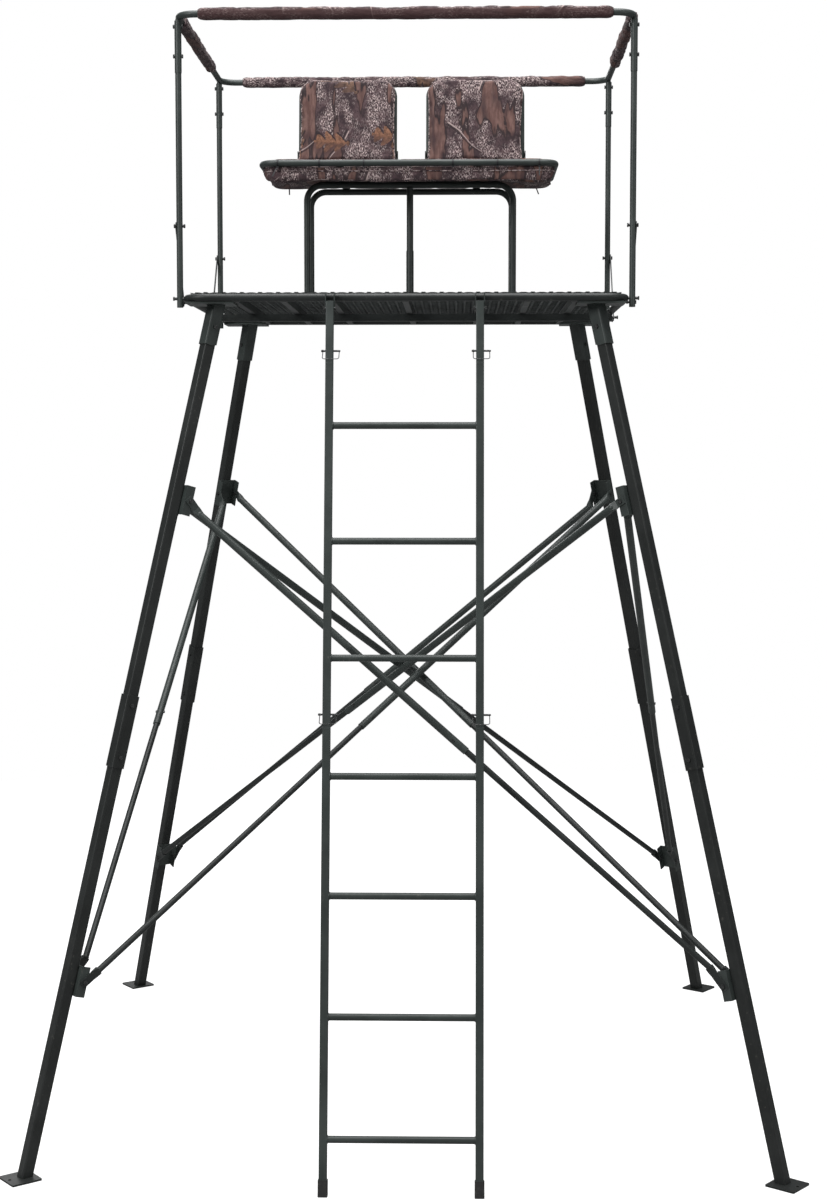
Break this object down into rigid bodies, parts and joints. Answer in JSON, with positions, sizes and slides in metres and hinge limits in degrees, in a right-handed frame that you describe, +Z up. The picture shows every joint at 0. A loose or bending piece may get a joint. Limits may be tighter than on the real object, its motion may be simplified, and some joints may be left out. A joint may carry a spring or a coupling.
{
  "type": "ladder tree stand",
  "caption": "Free-standing four-legged hunting tower with a ladder, expanded-metal platform, padded shooting rail and a bench seat with folding padded backrests",
  "frame": {"origin": "on the ground at the middle of the footprint", "axes": "+Z up, -Y towards the ladder, +X to the right when facing the ladder"},
  "size_m": [2.5092, 2.4698, 3.652],
  "materials": {
    "frame_steel": "dark green-grey powder coat",
    "dark_steel": "near-black green powder coat",
    "deck_steel": "powder-coated expanded metal",
    "hardware": "zinc-plated steel",
    "camo_fabric": "woven polyester printed with leaves and bark",
    "tie_plastic": "black nylon",
    "rubber_cap": "black rubber"
  },
  "bodies": {
    "root": {"foot_plates": "frame_steel", "lower_leg_left_front": "frame_steel", "lower_leg_right_front": "frame_steel", "lower_leg_left_back": "frame_steel", "lower_leg_right_back": "frame_steel", "upper_leg_left_front": "frame_steel", "upper_leg_right_front": "frame_steel", "upper_leg_left_back": "frame_steel", "upper_leg_right_back": "frame_steel", "face_brace_outer_front": "frame_steel", "face_brace_outer_right": "frame_steel", "face_brace_outer_back": "frame_steel", "face_brace_outer_left": "frame_steel", "cross_brace_outer_left_front": "frame_steel", "cross_brace_outer_right_front": "frame_steel", "cross_brace_outer_left_back": "frame_steel", "cross_brace_outer_right_back": "frame_steel", "corner_sockets": "frame_steel", "rail_posts": "frame_steel", "front_rail": "frame_steel", "back_rail": "frame_steel", "seat_frame": "frame_steel", "seat_leg_frames": "frame_steel", "ladder_hooks": "frame_steel", "ladder_upper_section": "frame_steel", "ladder_lower_section": "frame_steel", "leg_sleeves": "frame_steel", "brace_brackets": "frame_steel", "face_brace_inner_front": "dark_steel", "face_brace_inner_right": "dark_steel", "face_brace_inner_back": "dark_steel", "face_brace_inner_left": "dark_steel", "cross_brace_inner_left_front": "dark_steel", "cross_brace_inner_right_front": "dark_steel", "cross_brace_inner_left_back": "dark_steel", "cross_brace_inner_right_back": "dark_steel", "platform_frame": "dark_steel", "post_stays": "dark_steel", "backrest_brackets": "dark_steel", "brace_bolts": "hardware", "frame_bolts": "hardware", "front_rail_pad": "camo_fabric", "back_rail_pad": "camo_fabric", "side_rail_pads": "camo_fabric", "seat_cushion": "camo_fabric", "deck": "deck_steel", "cushion_ties": "tie_plastic", "ladder_feet": "rubber_cap"},
    "left_backrest": {"left_backrest_frame": "frame_steel", "left_backrest_pad": "camo_fabric"},
    "right_backrest": {"right_backrest_frame": "frame_steel", "right_backrest_pad": "camo_fabric"},
    "pin_upper_left": {"lock_pin_upper_left": "hardware"},
    "bail_upper_left": {"pin_bail_upper_left": "hardware"},
    "pin_upper_right": {"lock_pin_upper_right": "hardware"},
    "bail_upper_right": {"pin_bail_upper_right": "hardware"},
    "pin_lower_left": {"lock_pin_lower_left": "hardware"},
    "bail_lower_left": {"pin_bail_lower_left": "hardware"},
    "pin_lower_right": {"lock_pin_lower_right": "hardware"},
    "bail_lower_right": {"pin_bail_lower_right": "hardware"}
  },
  "joints": [
    {"name": "left_backrest_fold", "type": "hinge", "parent": "root", "child": "left_backrest", "pos_m": [-0.228, 0.12251, 3.29], "axis": [1, 0, 0], "range_deg": [0, 95]},
    {"name": "right_backrest_fold", "type": "hinge", "parent": "root", "child": "right_backrest", "pos_m": [0.228, 0.12251, 3.29], "axis": [1, 0, 0], "range_deg": [0, 95]},
    {"name": "pin_slide_upper_left", "type": "slide", "parent": "root", "child": "pin_upper_left", "axis": [-1, 0, 0], "range_m": [0, 0.0602]},
    {"name": "bail_swing_upper_left", "type": "hinge", "parent": "pin_upper_left", "child": "bail_upper_left", "pos_m": [-0.2595, -0.77395, 2.5705], "axis": [0, 0.5757, -0.8177], "range_deg": [0, 180]},
    {"name": "pin_slide_upper_right", "type": "slide", "parent": "root", "child": "pin_upper_right", "axis": [-1, 0, 0], "range_m": [0, 0.0602]},
    {"name": "bail_swing_upper_right", "type": "hinge", "parent": "pin_upper_right", "child": "bail_upper_right", "pos_m": [0.2165, -0.77395, 2.5705], "axis": [0, 0.5757, -0.8177], "range_deg": [0, 180]},
    {"name": "pin_slide_lower_left", "type": "slide", "parent": "root", "child": "pin_lower_left", "axis": [-1, 0, 0], "range_m": [0, 0.0602]},
    {"name": "bail_swing_lower_left", "type": "hinge", "parent": "pin_lower_left", "child": "bail_lower_left", "pos_m": [-0.2595, -0.97061, 1.43846], "axis": [0, 0.5757, -0.8177], "range_deg": [0, 180]},
    {"name": "pin_slide_lower_right", "type": "slide", "parent": "root", "child": "pin_lower_right", "axis": [-1, 0, 0], "range_m": [0, 0.0602]},
    {"name": "bail_swing_lower_right", "type": "hinge", "parent": "pin_lower_right", "child": "bail_lower_right", "pos_m": [0.2165, -0.97061, 1.43846], "axis": [0, 0.5757, -0.8177], "range_deg": [0, 180]}
  ],
  "couplings": [
    {"joint": "pin_slide_upper_left", "follows": "bail_swing_upper_left", "m_per_rad": 0.019099},
    {"joint": "pin_slide_upper_right", "follows": "bail_swing_upper_right", "m_per_rad": 0.019099},
    {"joint": "pin_slide_lower_left", "follows": "bail_swing_lower_left", "m_per_rad": 0.019099},
    {"joint": "pin_slide_lower_right", "follows": "bail_swing_lower_right", "m_per_rad": 0.019099}
  ]
}
